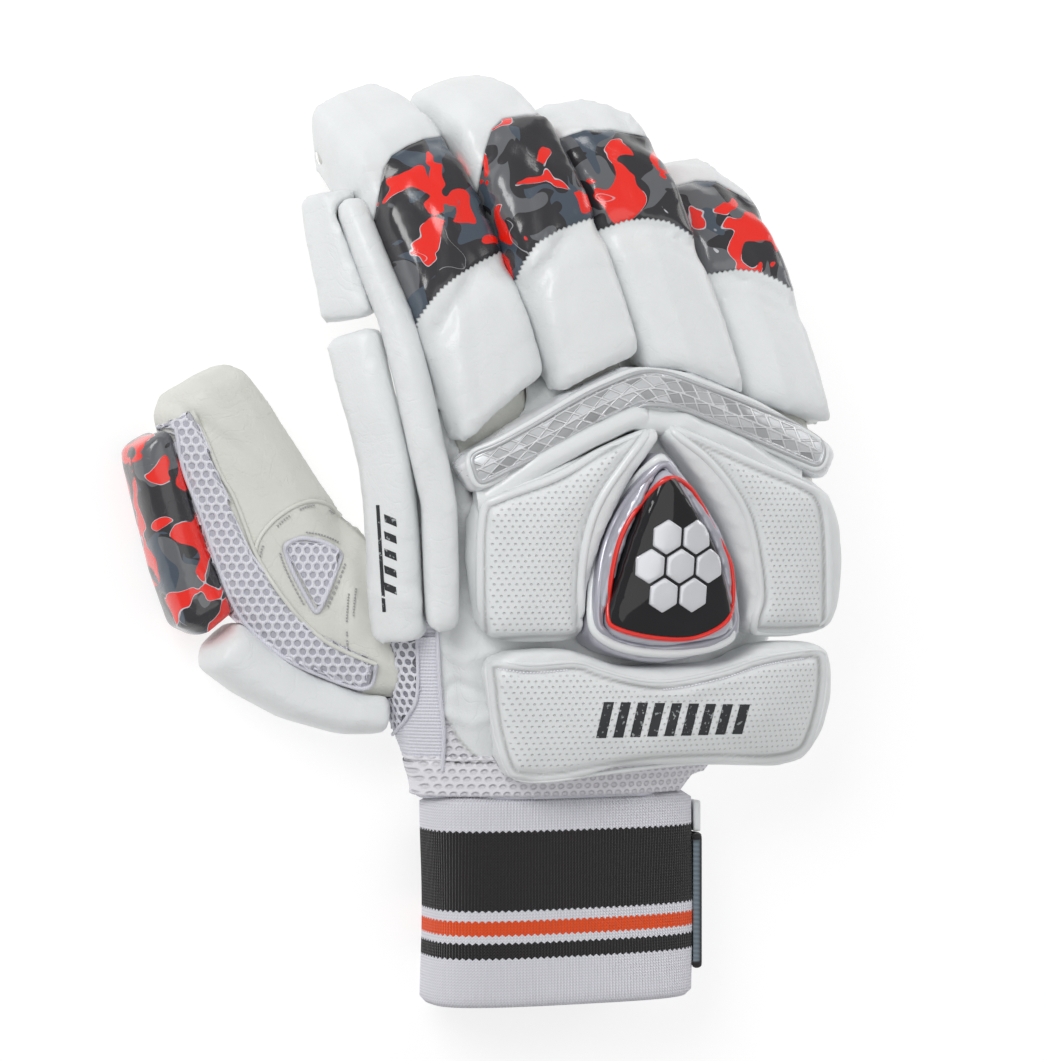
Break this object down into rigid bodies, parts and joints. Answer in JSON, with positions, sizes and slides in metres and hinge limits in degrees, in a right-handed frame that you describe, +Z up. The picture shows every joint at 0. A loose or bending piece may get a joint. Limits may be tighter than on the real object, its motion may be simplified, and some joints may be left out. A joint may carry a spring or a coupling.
{
  "type": "cricket batting glove",
  "caption": "Padded right-hand glove with sausage-style finger pads, side bars, thumb guards, moulded back pads and a striped elastic cuff, lying palm down.",
  "frame": {"origin": "middle of the underside of the bounding box, on the surface that the glove lies on", "axes": "+X from the thumb to the little finger, +Y from the cuff to the fingertips, +Z up out of the back of the hand"},
  "size_m": [0.2336, 0.3036, 0.083],
  "materials": {
    "leather_white": "smooth pigskin-look leather, semi-matt",
    "leather_perforated": "perforated leather, matt",
    "leather_cream": "soft sheep leather, matt",
    "camouflage": "coated leather, printed, glossy",
    "silver_trim": "silver film with relief, satin",
    "emblem": "moulded dome, high gloss",
    "knit": "ribbed elastic knit with woven stripes",
    "mesh": "open air mesh",
    "strap": "woven webbing"
  },
  "bodies": {
    "root": {"index_base_pad": "leather_white", "middle_base_pad": "leather_white", "ring_base_pad": "leather_white", "little_base_pad": "leather_white", "index_tip_pad": "leather_white", "middle_tip_pad": "leather_white", "ring_tip_pad": "leather_white", "little_tip_pad": "leather_white", "side_strip": "leather_white", "side_bar_base": "leather_white", "side_bar_tip": "leather_white", "thumb_base_guard": "leather_white", "back_pad_thumb_side": "leather_perforated", "back_pad_little_side": "leather_perforated", "wrist_pad": "leather_perforated", "hand_pocket": "leather_cream", "index_stall": "leather_cream", "middle_stall": "leather_cream", "ring_stall": "leather_cream", "little_stall": "leather_cream", "thumb_stall": "leather_cream", "index_knuckle_pad": "camouflage", "middle_knuckle_pad": "camouflage", "ring_knuckle_pad": "camouflage", "little_knuckle_pad": "camouflage", "thumb_tip_guard": "camouflage", "knuckle_band": "silver_trim", "emblem_pod": "silver_trim", "emblem_dome": "emblem", "cuff": "knit", "cuff_tab": "knit", "thumb_vent": "mesh", "thumb_gusset": "mesh", "side_gusset": "mesh", "wrist_strap": "strap"}
  },
  "joints": []
}
